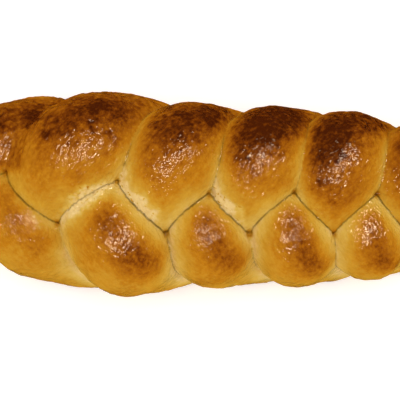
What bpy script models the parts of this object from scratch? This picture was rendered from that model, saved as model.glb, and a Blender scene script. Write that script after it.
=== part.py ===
"""Braided loaf: three strands of dough plaited together, risen into one body and baked on a flat tray.

X runs along the loaf, from its blunt end to its slim end, Y across it, and Z up. The origin is the centre of the
base.
"""

import math

import bpy
import numpy as np
from mathutils import Vector

# Driving dimensions, in metres. Places along the loaf are measured from the tip of its blunt end.
LOBE_PITCH = (0.029, 0.041, 0.058, 0.049, 0.048, 0.042, 0.044, 0.029, 0.019, 0.011)  # from one crossing to the next
HALF_WIDTH = (  # at places along the loaf
    (0.0, 0.0),
    (0.011, 0.024),
    (0.029, 0.039),
    (0.049, 0.047),
    (0.078, 0.0565),
    (0.116, 0.0595),
    (0.165, 0.054),
    (0.223, 0.053),
    (0.270, 0.0475),
    (0.310, 0.0395),
    (0.342, 0.0285),
    (0.361, 0.0175),
    (0.370, 0.0),
)
BOW = ((0.0, 0.0125), (0.049, 0.011), (0.116, 0.001), (0.20, 0.0), (0.37, -0.002))  # the axis's sideways bend

# Shares of the half width.
SWAY = 0.49  # from the braid's axis to the centre of a strand at its outermost
CLIMB = 0.26  # how far a strand rises over the others, and dives under them
AXIS_HEIGHT = 0.48  # the height of the braid's axis above the tray

PINCHED_LOBES = 1.0  # how much of the plait is pinched into one tip at each end
BROAD_TURNS = 0.10  # how much longer a strand stays outermost than in an even spiral
CREST_LEAD = (math.radians(13), math.radians(19))  # how early a strand is at its highest, on the near and far sides

# What makes the plait uneven. Each pair holds a value near the blunt end and one near the slim end.
LOAF = (0.05, 0.28)  # the two places along the loaf that the pairs belong to
FAR_SIDE_PLUMPER = (0.06, 0.10)  # how much thicker a strand is on the far side, and thinner on the near side
CREST_PLUMPER = 0.19  # how much of that thickness is gathered where the strand is on top
TIGHTNESS = (0.45, 0.81)  # 0 is an even spiral; at 1 the strands go straight across on top
LEAN = (0.21, 0.105)  # how far the far side's lobes lean to the slim end, in half widths
ROLL = (math.radians(9), math.radians(11))  # how far the braid is rolled over to the near side

STRANDS = 3
STRAND_POINTS = 160  # along each strand's guide curve
STRAND_SIDES = 7  # the guide curve's bevel resolution
VOXEL = 0.0022  # the grain of the skin that joins the strands
KEPT_SHARE = 0.14  # of that skin's faces
TRAY = (0.6, 0.4, 0.1)

CRUST_COLOUR = (0.46, 0.19, 0.012, 1.0)
CRUST_ROUGHNESS = 0.35


def through(points, places):
    """A smooth curve through (place, value) points that doesn't overshoot them."""
    at, value = (np.array(column, float) for column in zip(*points))
    step = np.diff(at)
    slope = np.diff(value) / step
    turns = slope[:-1] * slope[1:] <= 0
    mean = 2 * slope[:-1] * slope[1:] / np.where(turns, 1, slope[:-1] + slope[1:])
    tangent = np.concatenate([slope[:1], np.where(turns, 0, mean), slope[-1:]])
    i = np.clip(np.searchsorted(at, places) - 1, 0, len(step) - 1)
    t = np.clip((places - at[i]) / step[i], 0, 1)
    bend = (tangent[i] - slope[i]) * (1 - t) - (tangent[i + 1] - slope[i]) * t
    return value[i] + step[i] * t * (slope[i] + (1 - t) * bend)


def half_width(x):
    """Half the plait's width. Its squares are interpolated, so that both ends come out round."""
    squares = [(place, half * half) for place, half in HALF_WIDTH]
    return np.sqrt(np.maximum(through(squares, x), 0))


def along(pair, x):
    """The value, at places along the loaf, of what changes evenly from one end to the other."""
    return np.interp(x, LOAF, pair)


def strand_path(number):
    """Centres and radii of one strand. lobes counts the braid's crossings, and turn is the strand's own phase."""
    last = len(LOBE_PITCH)
    lobes = np.linspace(0, last, STRAND_POINTS)
    turn = 2 * math.pi * (lobes + number) / STRANDS
    over = np.sin(2 * turn + np.interp(np.sin(turn), (-1, 1), CREST_LEAD))
    loose = np.clip(np.minimum(lobes, last - lobes) / PINCHED_LOBES, 0, 1) ** 0.5
    stations = list(enumerate(np.cumsum([0, *LOBE_PITCH])))
    tightness = along(TIGHTNESS, through(stations, lobes))
    drift = loose * tightness * STRANDS / (4 * math.pi) * np.cos(2 * turn)
    x = through(stations, np.clip(lobes + drift, 0, last))
    half = half_width(x)
    plumper = 1 + along(FAR_SIDE_PLUMPER, x) * np.sin(turn) * (1 + CREST_PLUMPER * over)
    sway = (np.sin(turn) + BROAD_TURNS * np.sin(3 * turn)) / (1 - BROAD_TURNS)
    across = SWAY * loose * half * plumper * sway
    up = CLIMB * loose * half * over
    roll = along(ROLL, x)
    y = through(BOW, x) + across * np.cos(roll) - (up + CLIMB * half) * np.sin(roll)
    z = AXIS_HEIGHT * half + up * np.cos(roll) + across * np.sin(roll)
    lean = along(LEAN, x) * loose * half * np.maximum(np.sin(turn), 0) ** 2
    radius = (1 - SWAY * loose) * half * plumper
    return np.stack([x + lean, y, z], axis=1), radius


def strand_mesh(number):
    """A strand as a tube mesh, from a curve with a radius at each point."""
    centres, radii = strand_path(number)
    curve = bpy.data.curves.new(f"strand_{number}", "CURVE")
    curve.dimensions = "3D"
    curve.bevel_depth = 1.0
    curve.bevel_resolution = STRAND_SIDES
    curve.use_fill_caps = True
    spline = curve.splines.new("POLY")
    spline.points.add(len(centres) - 1)
    for point, centre, radius in zip(spline.points, centres, radii):
        point.co = (*centre, 1)
        point.radius = max(radius, VOXEL)
    guide = bpy.data.objects.new(curve.name, curve)
    bpy.context.scene.collection.objects.link(guide)
    evaluated = guide.evaluated_get(bpy.context.evaluated_depsgraph_get())
    mesh = bpy.data.meshes.new_from_object(evaluated)
    bpy.data.objects.remove(guide)
    return mesh


def plaited_dough():
    """The strands in one mesh, still as crossing tubes."""
    points, faces = [], []
    for number in range(STRANDS):
        mesh = strand_mesh(number)
        first = len(points)
        points += [vertex.co.copy() for vertex in mesh.vertices]
        faces += [[first + i for i in face.vertices] for face in mesh.polygons]
    dough = bpy.data.meshes.new("braided_loaf")
    dough.from_pydata(points, [], faces)
    return dough


def crust_material():
    material = bpy.data.materials.new("crust")
    material.use_nodes = True
    shader = material.node_tree.nodes["Principled BSDF"]
    shader.inputs["Base Color"].default_value = CRUST_COLOUR
    shader.inputs["Roughness"].default_value = CRUST_ROUGHNESS
    shader.inputs["Metallic"].default_value = 0.0
    return material


def tray_cutter(collection):
    """A block whose top is the tray, which cuts the loaf's flat base."""
    bpy.ops.mesh.primitive_cube_add(size=1, location=(0, 0, -TRAY[2] / 2))
    cutter = bpy.context.object
    cutter.name = "tray_cutter"
    cutter.scale = TRAY
    cutter.hide_render = True
    cutter.display_type = "WIRE"
    for other in cutter.users_collection:
        other.objects.unlink(cutter)
    collection.objects.link(cutter)
    return cutter


def main():
    for obj in list(bpy.data.objects):
        bpy.data.objects.remove(obj)
    scene = bpy.context.scene
    parts = bpy.data.collections.new("braided_loaf")
    cutters = bpy.data.collections.new("cutters")
    scene.collection.children.link(parts)
    scene.collection.children.link(cutters)

    loaf = bpy.data.objects.new("braided_loaf", plaited_dough())
    loaf.data.materials.append(crust_material())
    parts.objects.link(loaf)

    risen = loaf.modifiers.new("risen_together", "REMESH")
    risen.mode = "VOXEL"
    risen.voxel_size = VOXEL
    risen.use_smooth_shade = True
    fewer = loaf.modifiers.new("fewer_faces", "DECIMATE")
    fewer.ratio = KEPT_SHARE
    base = loaf.modifiers.new("flat_base", "BOOLEAN")
    base.operation = "DIFFERENCE"
    base.object = tray_cutter(cutters)

    bpy.context.view_layer.update()
    shape = loaf.evaluated_get(bpy.context.evaluated_depsgraph_get())
    corners = [Vector(corner) for corner in shape.bound_box]
    middle = (corners[0] + corners[6]) / 2
    loaf.location = (-middle.x, -middle.y, 0)


main()
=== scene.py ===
"""Looks of the braided loaf: its risen, wrinkled and blistered crust, egg-glazed and browned unevenly.

Everything is in metres, in the row frame: X runs along the loaf to its slim end, +Y to its far and
browner side, and Z up.
"""

import math

import bmesh
import bpy
import numpy as np
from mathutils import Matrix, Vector, noise


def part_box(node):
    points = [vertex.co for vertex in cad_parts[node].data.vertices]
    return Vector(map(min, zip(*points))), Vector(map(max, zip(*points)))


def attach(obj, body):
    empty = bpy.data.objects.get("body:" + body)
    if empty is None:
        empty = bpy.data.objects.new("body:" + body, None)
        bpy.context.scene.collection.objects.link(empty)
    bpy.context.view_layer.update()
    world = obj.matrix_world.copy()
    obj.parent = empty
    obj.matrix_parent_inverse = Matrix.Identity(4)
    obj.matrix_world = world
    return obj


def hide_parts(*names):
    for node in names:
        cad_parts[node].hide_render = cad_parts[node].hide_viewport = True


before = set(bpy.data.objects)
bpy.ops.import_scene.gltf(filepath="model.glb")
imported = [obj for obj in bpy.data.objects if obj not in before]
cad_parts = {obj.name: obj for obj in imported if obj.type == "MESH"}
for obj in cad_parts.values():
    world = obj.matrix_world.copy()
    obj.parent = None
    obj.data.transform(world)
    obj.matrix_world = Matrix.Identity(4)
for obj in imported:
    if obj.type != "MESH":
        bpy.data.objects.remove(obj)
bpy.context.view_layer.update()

# ---- The plait, as in the CAD. Places along the loaf are measured from the tip of its blunt end. ----
# From each crossing to the next.
LOBE_PITCH = (0.029, 0.041, 0.058, 0.049, 0.048, 0.042, 0.044, 0.029, 0.019, 0.011)
HALF_WIDTH = (  # at places along the loaf
    (0.0, 0.0),
    (0.011, 0.024),
    (0.029, 0.039),
    (0.049, 0.047),
    (0.078, 0.0565),
    (0.116, 0.0595),
    (0.165, 0.054),
    (0.223, 0.053),
    (0.270, 0.0475),
    (0.310, 0.0395),
    (0.342, 0.0285),
    (0.361, 0.0175),
    (0.370, 0.0),
)
BOW = ((0.0, 0.0125), (0.049, 0.011), (0.116, 0.001), (0.20, 0.0), (0.37, -0.002))  # the axis's sideways bend
# Shares of the half width.
SWAY = 0.49  # from the braid's axis to the centre of a strand at its outermost
CLIMB = 0.26  # how far a strand rises over the others, and dives under them
AXIS_HEIGHT = 0.48  # the height of the braid's axis above the tray
PINCHED_LOBES = 1.0  # how much of the plait is pinched into one tip at each end
BROAD_TURNS = 0.10  # how much longer a strand stays outermost than in an even spiral
CREST_LEAD = (math.radians(13), math.radians(19))  # how early a strand is highest, on the near and far sides
# Each pair holds a value near the blunt end and one near the slim end.
LOAF = (0.05, 0.28)  # the two places along the loaf that the pairs belong to
FAR_SIDE_PLUMPER = (0.06, 0.10)  # how much thicker a strand is on the far side, and thinner on the near side
CREST_PLUMPER = 0.19  # how much of that thickness is gathered where the strand is on top
TIGHTNESS = (0.45, 0.81)  # 0 is an even spiral; at 1 the strands go straight across on top
LEAN = (0.21, 0.105)  # how far the far side's lobes lean to the slim end, in half widths
ROLL = (math.radians(9), math.radians(11))  # how far the braid is rolled over to the near side
STRANDS = 3

# ---- The crust's form ----
STRAND_POINTS = 400  # along each strand's guide curve
STRAND_SIDES = 14  # the guide curve's bevel resolution
GRAIN = (math.radians(50), math.radians(-55))  # where strands run, seen from above: far side, near side
VOXEL = 0.0009  # the grain of the skin that joins the strands
EVENING = 4  # rounds of smoothing that take away the voxels' steps
SOFTENING = 300  # rounds of smoothing where two lobes grew together
KEPT_SHARE = 0.66  # of the triangles
SHARING = 0.0008  # how much further out a centre may lie and still share a point of the skin
POINTS_AT_A_TIME = 8192
FACING_DOWN = -0.99  # a normal's Z, below which a face belongs to the base
SEED = 11

# Relief: size across and height.
DENTS = (0.024, 0.0008)
LUMPS = (0.005, 0.0004)
FOLDS = (0.0030, 0.0004)
TORN_FLAKES = (0.0045, 0.0016)
GROOVE = (0.0012, 0.0008)  # along the creases
PIT = (0.0015, 0.0012)  # where three strands meet
BAND_RELIEF = (0.0025, 0.0006)  # of the stretched bands, which are sunk
BLISTERS = 160
BLISTER_SIZES = (0.0007, 0.0014)
BLISTER_STEEPNESS = 0.4

# Places along the loaf between which something begins, or ends where the first place is the larger.
GROWN_TOGETHER_FROM = (0.030, 0.040)
GROWN_TOGETHER_TO = (0.105, 0.095)
PLUMPEST_LOBE_TO = (0.125, 0.110)
WRINKLED_TO = (0.135, 0.105)
STRETCHED_FROM = (0.115, 0.125)
LESS_STRETCHED_FROM = (0.203, 0.213)
SHALLOW_CREASES_FROM = (0.205, 0.225)
BROWN_TIPS_FROM = (0.215, 0.230)
TORN = (0.1010, -0.0030, 0.015)  # place along and across the loaf, and size

# ---- The crust's browning, from 0 to 1 ----
FAR_SIDE = 0.46
# How much more the far side's crests browned, at places along the loaf.
FAR_HEAT = (
    (0.0, 0.34),
    (0.06, 0.38),
    (0.12, 0.41),
    (0.17, 0.48),
    (0.21, 0.61),
    (0.26, 0.47),
    (0.37, 0.36),
)
FAR_RIM = 0.62  # the least along the loaf's far side
NEAR_SIDE = 0.38
NEAR_HEAT = 0.39  # more, on the near side's crowns
GROWN_TOGETHER = (0.69, 0.11)  # the crease that closed, and how much browner it is at the loaf's side
TRAY_BROWNING = 0.60  # of the flat base
PIT_SHADE_AND_TRAY_BROWNING = 0.35  # more: painted shade in the pits where three strands meet, and browning at the tray's edge
# How much less brown it is in a crease, and how far from it that shows.
PALE_BY_TIPS = (0.32, 0.010)
PALE_BY_CRESTS = (0.28, 0.0065)
PALE_NEAR_SIDE = (0.29, 0.010)
PALE_BANDS = 0.28
PALE_TORN = (0.24, 0.22)  # evenly, and in flakes
# Spots that baked darker: place along and across the loaf, size and amount.
BURNT = ((0.0700, 0.0460, 0.0040, 0.45), (0.0803, 0.0307, 0.0025, 0.35), (0.1070, 0.0500, 0.006, 0.08))

# ---- The crust's colours, from unbrowned dough to the darkest crest ----
CREAM = (233, 199, 130)
STRAW = (215, 173, 76)
GOLD = (203, 149, 43)
AMBER = (188, 120, 20)
RUSSET = (160, 90, 11)
BROWN = (118, 56, 6)
DARK = (72, 27, 4)
BAKED = ((0.0, CREAM), (0.15, STRAW), (0.3, GOLD), (0.47, AMBER), (0.65, RUSSET), (0.83, BROWN), (1.0, DARK))
SHADOW = (112, 78, 22)  # painted shade: the olive lines along the creases, where the grooves fall into shade
# How far from a crease the painted shade lines reach.
SHADE_LINE_WIDTH = 0.0008

# ---- The crust's fine texture: lumps to a metre, detail and roughness of its noise ----
MOTTLE = (380, 5.0, 0.7)
STREAKS = (420, 3.0, 0.6)
PORES = (620, 2.0, 0.5)
WRINKLES = (480, 2.0, 0.5)
SHADE_LINE_BREAKS = (70, 2.0, 0.6)
GLAZE_PATCHES = (75, 2.0, 0.5)
MOTTLE_AMOUNT = 0.11
STREAK_AMOUNT = 0.08
PORE_AMOUNT = 0.36
WRINKLE_DEPTH = 0.0009
CRUST_ROUGHNESS = 0.5
GLAZE_ROUGHNESS = 0.085
GLAZE_SHARES = (0.25, 1.0)  # where the egg is thinnest and thickest
BARE_SHARE = 0.1  # of the glaze, left on pale dough that tore after glazing

# ---- The picture ----
VIEW_CENTRE = (0.1653, -0.0012, 0.035)  # measured like the plait
VIEW_DISTANCE = 0.638
VIEW_ELEVATION = math.radians(84)
LENS = 99
WARM = (1.0, 0.78, 0.54)
WHITE = (1.0, 1.0, 1.0)
PAPER = (0.95, 0.95, 0.95)
PAPER_GLOW = 0.25
PAPER_DROP = 0.0002  # keeps the floor just clear of the base
SKY = 1.02
# Lights: place, size and watts.
SOFTBOX = ((0.1, 0.1, 1.4), 1.2, 3)
WINDOW = ((-0.15, -0.2, 1.2), 0.22, 9)
LAMP = ((0.4, 0.2, 1.1), 0.2, 8)


def through(points, places):
    """A smooth curve through (place, value) points that doesn't overshoot them."""
    at, value = (np.array(column, float) for column in zip(*points))
    step = np.diff(at)
    slope = np.diff(value) / step
    turns = slope[:-1] * slope[1:] <= 0
    mean = 2 * slope[:-1] * slope[1:] / np.where(turns, 1, slope[:-1] + slope[1:])
    tangent = np.concatenate([slope[:1], np.where(turns, 0, mean), slope[-1:]])
    i = np.clip(np.searchsorted(at, places) - 1, 0, len(step) - 1)
    t = np.clip((places - at[i]) / step[i], 0, 1)
    bend = (tangent[i] - slope[i]) * (1 - t) - (tangent[i + 1] - slope[i]) * t
    return value[i] + step[i] * t * (slope[i] + (1 - t) * bend)


def half_width(x):
    """The squares are what is interpolated, so that both ends come out round."""
    squares = [(place, half * half) for place, half in HALF_WIDTH]
    return np.sqrt(np.maximum(through(squares, x), 0))


def along(pair, x):
    return np.interp(x, LOAF, pair)


def strand_path(number):
    """Centres, radii and turn of one strand. The turn is 0 where it rises over the others to the far side."""
    last = len(LOBE_PITCH)
    lobes = np.linspace(0, last, STRAND_POINTS)
    turn = 2 * math.pi * (lobes + number) / STRANDS
    over = np.sin(2 * turn + np.interp(np.sin(turn), (-1, 1), CREST_LEAD))
    loose = np.clip(np.minimum(lobes, last - lobes) / PINCHED_LOBES, 0, 1) ** 0.5
    stations = list(enumerate(np.cumsum([0, *LOBE_PITCH])))
    tightness = along(TIGHTNESS, through(stations, lobes))
    drift = loose * tightness * STRANDS / (4 * math.pi) * np.cos(2 * turn)
    x = through(stations, np.clip(lobes + drift, 0, last))
    half = half_width(x)
    plumper = 1 + along(FAR_SIDE_PLUMPER, x) * np.sin(turn) * (1 + CREST_PLUMPER * over)
    sway = (np.sin(turn) + BROAD_TURNS * np.sin(3 * turn)) / (1 - BROAD_TURNS)
    across = SWAY * loose * half * plumper * sway
    up = CLIMB * loose * half * over
    roll = along(ROLL, x)
    y = through(BOW, x) + across * np.cos(roll) - (up + CLIMB * half) * np.sin(roll)
    z = AXIS_HEIGHT * half + up * np.cos(roll) + across * np.sin(roll)
    lean = along(LEAN, x) * loose * half * np.maximum(np.sin(turn), 0) ** 2
    radius = (1 - SWAY * loose) * half * plumper
    return np.stack([x + lean, y, z], axis=1), radius, turn


def strand_mesh(centres, radii):
    """A strand as a tube."""
    guide = bpy.data.curves.new("strand", "CURVE")
    guide.dimensions = "3D"
    guide.bevel_depth = 1.0
    guide.bevel_resolution = STRAND_SIDES
    guide.use_fill_caps = True
    spline = guide.splines.new("POLY")
    spline.points.add(len(centres) - 1)
    for point, centre, radius in zip(spline.points, centres, radii):
        point.co = (*centre, 1)
        point.radius = max(radius, VOXEL)
    holder = bpy.data.objects.new("strand", guide)
    bpy.context.scene.collection.objects.link(holder)
    graph = bpy.context.evaluated_depsgraph_get()
    mesh = bpy.data.meshes.new_from_object(holder.evaluated_get(graph))
    bpy.data.objects.remove(holder)
    return mesh


def applied(loaf, kind, **settings):
    """Adds a modifier and makes its result the mesh."""
    modifier = loaf.modifiers.new(kind.lower(), kind)
    for name, value in settings.items():
        setattr(modifier, name, value)
    graph = bpy.context.evaluated_depsgraph_get()
    mesh = bpy.data.meshes.new_from_object(loaf.evaluated_get(graph))
    loaf.modifiers.clear()
    loaf.data = mesh


def risen_dough(paths):
    """The strands grown together into one skin."""
    dough = bmesh.new()
    for centres, radii, _ in paths:
        dough.from_mesh(strand_mesh(centres, radii))
    mesh = bpy.data.meshes.new("loaf_crust")
    dough.to_mesh(mesh)
    dough.free()
    loaf = bpy.data.objects.new("loaf_crust", mesh)
    bpy.context.scene.collection.objects.link(loaf)
    applied(loaf, "REMESH", mode="VOXEL", voxel_size=VOXEL, use_smooth_shade=True)
    applied(loaf, "SMOOTH", factor=0.5, iterations=EVENING)
    return loaf


def soften(loaf, share):
    """Smooths the skin where share isn't 0."""
    group = loaf.vertex_groups.new(name="softened")
    for i in np.flatnonzero(share > 0.01):
        group.add([int(i)], share[i], "REPLACE")
    applied(loaf, "SMOOTH", factor=0.5, iterations=SOFTENING, vertex_group="softened")
    loaf.vertex_groups.clear()


def flat_base(loaf):
    """Cuts the loaf off at the tray and closes it there."""
    dough = bmesh.new()
    dough.from_mesh(loaf.data)
    everything = [*dough.verts, *dough.edges, *dough.faces]
    cut = bmesh.ops.bisect_plane(
        dough, geom=everything, plane_co=(0, 0, 0), plane_no=(0, 0, -1), clear_outer=True
    )
    rim = [part for part in cut["geom_cut"] if isinstance(part, bmesh.types.BMEdge)]
    bmesh.ops.holes_fill(dough, edges=rim, sides=0)
    bmesh.ops.triangulate(dough, faces=[face for face in dough.faces if len(face.verts) > 4])
    dough.to_mesh(loaf.data)
    dough.free()


def positions(mesh):
    found = np.empty(len(mesh.vertices) * 3, np.float32)
    mesh.vertices.foreach_get("co", found)
    return found.reshape(-1, 3).astype(float)


def normals(mesh):
    found = np.empty(len(mesh.vertices) * 3, np.float32)
    mesh.vertex_normals.foreach_get("vector", found)
    return found.reshape(-1, 3).astype(float)


def ramp(value, low, high):
    """0 below low, 1 above high and smooth between them. low may be the larger."""
    t = np.clip((value - low) / (high - low), 0, 1)
    return t * t * (3 - 2 * t)


def ripples(points, size, seed, octaves=1):
    """Smooth noise from about -1 to 1, whose lumps are about size across."""
    shift = np.random.default_rng(seed).uniform(0, 50, 3)
    if octaves == 1:
        return np.array([noise.noise(place) for place in points / size + shift])
    return np.array([noise.fractal(place, 1.0, 2.0, octaves) for place in points / size + shift])


class Skin:
    """Where each point of the crust lies on the plait."""

    def __init__(self, points, paths):
        self.points = points
        found = [place_on(points, centres, radii) for centres, radii, _ in paths]
        depths = np.array([depth for depth, _ in found])
        places = np.array([place for _, place in found])
        order = depths.argsort(axis=0)
        ordered = np.take_along_axis(depths, order, axis=0)
        self.gap = ordered[1] - ordered[0]  # to the next strand, which is 0 in a crease
        self.junction = ordered[2] - ordered[0]  # to the third strand, which is 0 where all meet
        own = order[0]
        place = np.take_along_axis(places, order, axis=0)[0]
        centres, radii, turn = (np.array(column) for column in zip(*paths))
        tangent = np.gradient(centres, axis=1)
        turned = at_place(turn, own, place) % (2 * math.pi)
        self.far = turned < math.pi
        self.reach = turned % math.pi  # 0 at a lobe's tip in the middle of the loaf, pi / 2 at its side
        sideways = np.cross(at_place(tangent, own, place), (0, 0, 1))
        sideways *= (np.sign(sideways[:, 0]) / np.linalg.norm(sideways, axis=1))[:, None]
        out = points - at_place(centres, own, place)
        # Across the strand in its radii, from -1 on the blunt end's side to 1 on the slim end's.
        self.lateral = (out * sideways).sum(axis=1) / at_place(radii, own, place)
        run = np.where(self.far, *GRAIN)
        cos, sin = np.cos(run), np.sin(run)
        x, y, z = points.T
        self.grain = np.stack([x * cos + y * sin, y * cos - x * sin, z], axis=1)  # its first axis runs along
        # Across the loaf in its half widths, from -1 on the near side to 1 on the far side.
        self.side = (y - through(BOW, x)) / np.maximum(half_width(x), 0.01)


def place_on(points, centres, radii):
    """How far each point lies outside a strand, and the number and fraction of the centre next to it."""
    depth = np.empty(len(points))
    place = np.empty(len(points))
    squares = (centres**2).sum(axis=1)
    numbers = np.arange(len(centres))
    for start in range(0, len(points), POINTS_AT_A_TIME):
        these = slice(start, start + POINTS_AT_A_TIME)
        some = points[these]
        squared = (some**2).sum(axis=1)[:, None] - 2 * some @ centres.T + squares
        outside = np.sqrt(np.maximum(squared, 0)) - radii
        nearest = outside.min(axis=1)
        share = np.exp((nearest[:, None] - outside) / SHARING)
        depth[these] = nearest
        place[these] = share @ numbers / share.sum(axis=1)
    return depth, place


def at_place(values, own, place):
    """The values that strands have at places between their centres."""
    before = np.minimum(place.astype(int), values.shape[1] - 2)
    share = (place - before).reshape(-1, *[1] * (values.ndim - 2))
    return values[own, before] * (1 - share) + values[own, before + 1] * share


def bell(value, middle, width):
    return np.exp(-(((value - middle) / width) ** 2))


def near_place(skin, place_x, place_y, size):
    x, y, _ = skin.points.T
    return np.exp(-((x - place_x) ** 2 + (y - place_y) ** 2) / size**2)


def browning(skin):
    """How brown the crust is baked, from 0 to 1, with painted shade in the pits where three strands meet."""
    brown = np.where(skin.far, far_browning(skin), near_browning(skin))
    middle, more_at_side = GROWN_TOGETHER
    merged = middle + more_at_side * ramp(skin.side, 0.3, 0.6)
    brown = brown + (merged - brown) * 0.85 * grown_together(skin)
    evenly, in_flakes = PALE_TORN
    flakes = ripples(skin.points, 0.0022, SEED + 10, 2)
    brown -= PALE_BANDS * stretched(skin) + (evenly + in_flakes * flakes) * torn(skin)
    brown += 0.08 * ripples(skin.points, 0.018, SEED, 3)
    blotches = ripples(skin.points, 0.007, SEED + 4, 2)
    brown += 0.12 * skin.far * ramp(brown, 0.45, 0.75) * ramp(blotches, 0.1, 0.5)
    for place_x, place_y, size, amount in BURNT:
        brown += amount * near_place(skin, place_x, place_y, size)
    # Painted shade: darker in the pits where three strands meet.
    brown += PIT_SHADE_AND_TRAY_BROWNING * bell(skin.junction, 0, 0.0018)
    # Browner where the crust touched the tray.
    brown += PIT_SHADE_AND_TRAY_BROWNING * ramp(skin.points[:, 2], 0.004, 0.0)
    return np.clip(brown, 0, 1)


def far_browning(skin):
    """The far side's lobes are darkest on the side that faces the blunt end, and pale round their tips.

    Their browning fades towards the tray, and where they go under.
    """
    x, _, z = skin.points.T
    top = ramp(skin.reach, 0.4, 0.85) * ramp(skin.reach, 3.0, 2.2)
    crest = bell(skin.lateral, -0.4, 0.62) * top * ramp(z, 0.0, 0.028)
    brown = FAR_SIDE + through(FAR_HEAT, x) * crest
    brown += 0.25 * (1 - top) * ramp(x, *BROWN_TIPS_FROM)
    less, reach = PALE_BY_TIPS
    less = less * (1 - 0.5 * ramp(x, *PLUMPEST_LOBE_TO))
    brown -= (1 - top) * less * bell(skin.gap, 0, reach)
    less, reach = PALE_BY_CRESTS
    brown -= top * less * bell(skin.gap, 0, reach)
    rim = ramp(skin.side, 0.72, 0.92) * ramp(z, 0.008, 0.030)
    return np.maximum(brown, FAR_RIM * rim)


def near_browning(skin):
    """The near side's lobes have one brown patch each, on their crowns."""
    patch = bell(skin.lateral, 0.07, 0.44) * ramp(skin.reach, 0.07, 0.47) * ramp(skin.reach, 1.4, 0.6)
    less, reach = PALE_NEAR_SIDE
    return NEAR_SIDE + NEAR_HEAT * patch - less * bell(skin.gap, 0, reach)


def grown_together(skin):
    """1 in the crease of the far side that closed as the loaf rose."""
    x = skin.points[:, 0]
    crease = ramp(skin.gap, 0.018, 0.008) * ramp(skin.side, 0.0, 0.15)
    return crease * ramp(x, *GROWN_TOGETHER_FROM) * ramp(x, *GROWN_TOGETHER_TO)


def stretched(skin):
    """1 where the dough tore open below a tip late in the bake, and stayed pale."""
    x = skin.points[:, 0]
    ragged = ripples(skin.points, 0.006, SEED + 8, 2)
    tip = ramp(skin.reach + 0.06 * ragged, 0.48, 0.30) * ramp(skin.lateral + 0.25 * ragged, 0.46, 0.04)
    tip = tip * skin.far * ramp(skin.gap + 0.004 * ragged, 0.011, 0.003)
    return tip * ramp(x, *STRETCHED_FROM) * (1 - 0.7 * ramp(x, *LESS_STRETCHED_FROM))


def torn(skin):
    """1 on the patch where two lobes pulled apart and left a flaky edge."""
    ragged = ripples(skin.points, 0.005, SEED + 9, 3)
    return near_place(skin, *TORN) * ramp(skin.gap + 0.005 * ragged, 0.009, 0.001)


def closed(skin):
    """How far the creases filled up as the loaf rose: one all the way, and others only in part."""
    shallow = ramp(skin.gap, 0.008, 0.003) * ramp(skin.points[:, 0], *SHALLOW_CREASES_FROM)
    shallow = shallow * ramp(skin.side, 0.35, 0.15)
    return np.maximum(grown_together(skin), np.maximum(0.7 * torn(skin), 0.18 * shallow))


def wrinkled(skin):
    """1 on the plump lobe whose skin shrank into fine wrinkles as it cooled."""
    return skin.far * ramp(skin.side, -0.1, 0.2) * ramp(skin.points[:, 0], *WRINKLED_TO)


def raised(skin):
    """Height of the crust's relief above the smooth strands."""
    open_skin = ramp(skin.gap, 0.0, 0.006)
    relief = relief_of(DENTS, skin.points, SEED + 1)
    relief += relief_of(LUMPS, skin.points, SEED + 2) * open_skin
    folds = relief_of(FOLDS, skin.grain * (0.4, 1.0, 1.0), SEED + 5)
    relief += folds * open_skin * (0.3 + 0.7 * wrinkled(skin))
    width, depth = GROOVE
    relief -= depth * bell(skin.gap, 0, width) * (1 - np.maximum(grown_together(skin), 0.8 * torn(skin)))
    width, depth = PIT
    relief -= depth * bell(skin.junction, 0, width)
    size, depth = BAND_RELIEF
    relief -= depth * stretched(skin) * (1 + ripples(skin.points, size, SEED + 3))
    relief += blisters(skin) * open_skin
    size, height = TORN_FLAKES
    relief += height * torn(skin) * ramp(ripples(skin.points, size, SEED + 6, 3), -0.05, 0.10)
    return relief


def relief_of(form, points, seed):
    size, height = form
    return height * ripples(points, size, seed, 2)


def blisters(skin):
    """Small round bubbles that rose under the glaze."""
    random = np.random.default_rng(SEED + 7)
    height = np.zeros(len(skin.points))
    for centre in skin.points[random.choice(len(skin.points), BLISTERS, replace=False)]:
        size = random.uniform(*BLISTER_SIZES)
        height += BLISTER_STEEPNESS * size * np.exp(-((skin.points - centre) ** 2).sum(axis=1) / size**2)
    return height


def store(mesh, name, values):
    kind = "FLOAT_VECTOR" if values.ndim == 2 else "FLOAT"
    attribute = mesh.attributes.new(name, kind, "POINT")
    attribute.data.foreach_set("vector" if values.ndim == 2 else "value", values.astype(np.float32).ravel())


def linear(colour):
    """An sRGB colour, 0 to 255, as a node's colour."""
    share = np.array(colour) / 255
    return (*np.where(share <= 0.04045, share / 12.92, ((share + 0.055) / 1.055) ** 2.4), 1.0)


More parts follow.
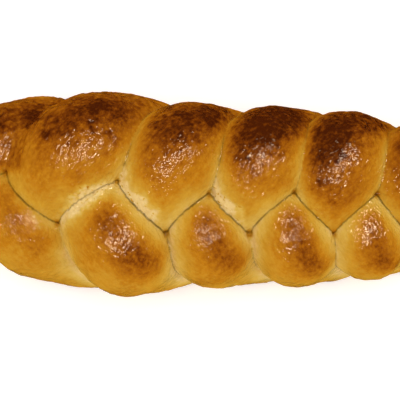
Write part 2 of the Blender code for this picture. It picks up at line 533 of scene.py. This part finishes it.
class Nodes:
    """Short ways to add nodes to a material."""

    def __init__(self, material):
        self.tree = material.node_tree
        self.tree.nodes.clear()

    def add(self, kind, **settings):
        node = self.tree.nodes.new(kind)
        for name, value in settings.items():
            setattr(node, name, value)
        return node

    def link(self, source, target):
        self.tree.links.new(source, target)

    def put(self, value, socket):
        if isinstance(value, bpy.types.NodeSocket):
            self.link(value, socket)
        else:
            socket.default_value = value

    def attribute(self, name, output="Fac"):
        return self.add("ShaderNodeAttribute", attribute_name=name).outputs[output]

    def facing(self, axis):
        geometry = self.add("ShaderNodeNewGeometry")
        node = self.add("ShaderNodeSeparateXYZ")
        self.link(geometry.outputs["True Normal"], node.inputs[0])
        return node.outputs[axis]

    def maths(self, operation, *values):
        node = self.add("ShaderNodeMath", operation=operation)
        for value, socket in zip(values, node.inputs):
            self.put(value, socket)
        return node.outputs[0]

    def noise(self, vector, scale, detail=2.0, roughness=0.5):
        node = self.add("ShaderNodeTexNoise")
        self.link(vector, node.inputs["Vector"])
        node.inputs["Scale"].default_value = scale
        node.inputs["Detail"].default_value = detail
        node.inputs["Roughness"].default_value = roughness
        return node.outputs["Fac"]

    def scaled(self, vector, scale):
        node = self.add("ShaderNodeMapping")
        self.link(vector, node.inputs["Vector"])
        node.inputs["Scale"].default_value = scale
        return node.outputs["Vector"]

    def between(self, value, low, high, to_low=0.0, to_high=1.0):
        node = self.add("ShaderNodeMapRange")
        self.link(value, node.inputs["Value"])
        for socket, number in zip(("From Min", "From Max", "To Min", "To Max"), (low, high, to_low, to_high)):
            node.inputs[socket].default_value = number
        return node.outputs["Result"]

    def colours(self, value, stops):
        node = self.add("ShaderNodeValToRGB")
        self.link(value, node.inputs["Fac"])
        band = node.color_ramp
        while len(band.elements) < len(stops):
            band.elements.new(0.5)
        for element, (place, colour) in zip(band.elements, stops):
            element.position = place
            element.color = linear(colour)
        return node.outputs["Color"]

    def mixed(self, first, second, share):
        node = self.add("ShaderNodeMix", data_type="RGBA")
        for value, name in ((share, "Factor_Float"), (first, "A_Color"), (second, "B_Color")):
            self.put(value, next(socket for socket in node.inputs if socket.identifier == name))
        return next(socket for socket in node.outputs if socket.identifier == "Result_Color")

    def bump(self, height, distance):
        node = self.add("ShaderNodeBump")
        self.link(height, node.inputs["Height"])
        node.inputs["Distance"].default_value = distance
        return node.outputs["Normal"]


def crust_colour(nodes, place, grain, pale):
    """The browning, with its painted shade in the pits, finely mottled, streaked and pored, as colour, with
    painted shade as olive lines along the creases.
    """
    base = nodes.between(nodes.facing("Z"), -0.95, FACING_DOWN)
    baked = nodes.attribute("browning")
    baked = nodes.maths("MULTIPLY_ADD", nodes.maths("SUBTRACT", TRAY_BROWNING, baked), base, baked)
    strength = nodes.between(baked, 0.3, 0.75, 0.4, 1.5)
    mottle = nodes.between(nodes.noise(place, *MOTTLE), 0.25, 0.75, -MOTTLE_AMOUNT, MOTTLE_AMOUNT)
    along_grain = nodes.scaled(grain, (0.45, 1.0, 1.0))
    streaks = nodes.between(nodes.noise(along_grain, *STREAKS), 0.25, 0.75, -STREAK_AMOUNT, STREAK_AMOUNT)
    brown = nodes.maths("ADD", baked, nodes.maths("MULTIPLY", mottle, strength))
    brown = nodes.maths("ADD", brown, nodes.maths("MULTIPLY", streaks, strength))
    pores = nodes.between(nodes.noise(nodes.scaled(grain, (1.0, 0.6, 1.0)), *PORES), 0.60, 0.70)
    pores = nodes.maths("MULTIPLY", nodes.maths("MULTIPLY", pores, pale), PORE_AMOUNT)
    brown = nodes.maths("ADD", brown, pores)
    # Painted shade: thin olive lines darken the bottoms of the creases, broken up by noise, and not on the
    # base.
    shade_line = nodes.between(nodes.attribute("crease"), SHADE_LINE_WIDTH, 0.0)
    breaks = nodes.between(nodes.noise(place, *SHADE_LINE_BREAKS), 0.40, 0.60, 0.05, 0.75)
    shade_line = nodes.maths("MULTIPLY", nodes.maths("MULTIPLY", shade_line, breaks), nodes.maths("SUBTRACT", 1.0, base))
    return nodes.mixed(nodes.colours(brown, BAKED), linear(SHADOW), shade_line)


def egg_glaze(nodes, place, pale):
    """How much of the glaze there is: it was brushed on unevenly, and misses the dough that tore later."""
    glaze = nodes.between(nodes.noise(place, *GLAZE_PATCHES), 0.35, 0.60, *GLAZE_SHARES)
    return nodes.maths("MULTIPLY", glaze, nodes.between(pale, 0.0, 1.0, 1.0, BARE_SHARE))


def crust_material():
    material = bpy.data.materials.new("crust")
    material.use_nodes = True
    nodes = Nodes(material)
    place = nodes.add("ShaderNodeTexCoord").outputs["Object"]
    grain = nodes.attribute("grain", "Vector")
    pale = nodes.attribute("pale")
    wrinkles = nodes.noise(nodes.scaled(grain, (0.75, 1.0, 1.0)), *WRINKLES)
    normal = nodes.bump(wrinkles, WRINKLE_DEPTH)
    shader = nodes.add("ShaderNodeBsdfPrincipled")
    nodes.link(crust_colour(nodes, place, grain, pale), shader.inputs["Base Color"])
    nodes.link(normal, shader.inputs["Normal"])
    nodes.link(normal, shader.inputs["Coat Normal"])
    nodes.link(egg_glaze(nodes, place, pale), shader.inputs["Coat Weight"])
    shader.inputs["Roughness"].default_value = CRUST_ROUGHNESS
    shader.inputs["Specular IOR Level"].default_value = 0.0  # only the glaze shines
    shader.inputs["Subsurface Weight"].default_value = 0.05
    shader.inputs["Subsurface Radius"].default_value = (1.0, 0.5, 0.2)
    shader.inputs["Subsurface Scale"].default_value = 0.003
    shader.inputs["Coat Roughness"].default_value = GLAZE_ROUGHNESS
    output = nodes.add("ShaderNodeOutputMaterial")
    nodes.link(shader.outputs["BSDF"], output.inputs["Surface"])
    return material


def shade(mesh):
    """Shades the crust smooth and the base flat."""
    facing = np.empty(len(mesh.polygons) * 3, np.float32)
    mesh.polygons.foreach_get("normal", facing)
    mesh.polygons.foreach_set("use_smooth", facing[2::3] > FACING_DOWN)


def middle_of(low, high):
    return (Vector(low) + Vector(high)) / 2


def make_loaf(paths):
    """Makes the crust, and returns what it was moved by, from the plait's own places to the row frame."""
    loaf = risen_dough(paths)
    mesh = loaf.data
    skin = Skin(positions(mesh), paths)
    # The browning attribute also carries the painted shade in the pits.
    store(mesh, "browning", browning(skin))
    # The crease attribute places the painted shade lines. They are left out where the creases closed or tore.
    no_shade_lines = np.maximum(grown_together(skin), 0.15 * torn(skin))
    store(mesh, "crease", skin.gap + 0.01 * no_shade_lines)
    store(mesh, "pale", np.maximum(stretched(skin), torn(skin)))
    store(mesh, "grain", skin.grain)
    soften(loaf, closed(skin))
    moved = positions(loaf.data) + normals(loaf.data) * raised(skin)[:, None]
    loaf.data.vertices.foreach_set("co", moved.astype(np.float32).ravel())
    flat_base(loaf)
    applied(loaf, "DECIMATE", ratio=KEPT_SHARE)
    corners = positions(loaf.data)
    middle = middle_of(corners.min(axis=0), corners.max(axis=0))
    wanted = middle_of(*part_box("braided_loaf"))
    shift = Vector((wanted.x - middle.x, wanted.y - middle.y, 0))
    for vertex in loaf.data.vertices:
        vertex.co += shift
    loaf.data.materials.append(crust_material())
    shade(loaf.data)
    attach(loaf, "root")
    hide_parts("braided_loaf")
    return shift


def paper_material():
    """White paper, which glows a little so that it stays white next to the loaf."""
    material = bpy.data.materials.new("floor")
    material.use_nodes = True
    shader = material.node_tree.nodes["Principled BSDF"]
    shader.inputs["Base Color"].default_value = (*PAPER, 1.0)
    shader.inputs["Roughness"].default_value = 0.9
    shader.inputs["Emission Color"].default_value = (*WHITE, 1.0)
    shader.inputs["Emission Strength"].default_value = PAPER_GLOW
    return material


def make_floor():
    bpy.ops.mesh.primitive_plane_add(size=6)
    floor = bpy.context.object
    floor.name = "floor"
    floor.location.z = -PAPER_DROP
    floor.data.materials.append(paper_material())
    floor.visible_glossy = False


def make_light(name, place, size, power, glossy):
    """A square light that faces the loaf. A glossy one shows only in the glaze, and the others never do."""
    data = bpy.data.lights.new(name, "AREA")
    data.shape = "SQUARE"
    data.size = size
    data.energy = power
    data.color = WARM if glossy else WHITE
    light = bpy.data.objects.new(name, data)
    light.location = place
    light.rotation_euler = (-Vector(place)).to_track_quat("-Z", "Y").to_euler()
    light.visible_glossy = glossy
    light.visible_diffuse = not glossy
    bpy.context.scene.collection.objects.link(light)


def make_world(brightness):
    world = bpy.data.worlds.new("studio")
    world.use_nodes = True
    world.node_tree.nodes["Background"].inputs["Color"].default_value = (1, 1, 1, 1)
    world.node_tree.nodes["Background"].inputs["Strength"].default_value = brightness
    world.cycles_visibility.glossy = False
    bpy.context.scene.world = world


def make_camera(target):
    data = bpy.data.cameras.new("camera")
    data.lens = LENS
    data.sensor_width = 36
    camera = bpy.data.objects.new("camera", data)
    back = Vector((0, -math.cos(VIEW_ELEVATION), math.sin(VIEW_ELEVATION)))
    camera.location = target + back * VIEW_DISTANCE
    camera.rotation_euler = (-back).to_track_quat("-Z", "Y").to_euler()
    bpy.context.scene.collection.objects.link(camera)
    bpy.context.scene.camera = camera


def main():
    paths = [strand_path(number) for number in range(STRANDS)]
    shift = make_loaf(paths)
    make_floor()
    make_world(SKY)
    make_light("softbox", *SOFTBOX, glossy=False)
    make_light("window", *WINDOW, glossy=True)
    make_light("lamp", *LAMP, glossy=True)
    make_camera(Vector(VIEW_CENTRE) + shift)
    bpy.context.scene.view_settings.view_transform = "Standard"


main()
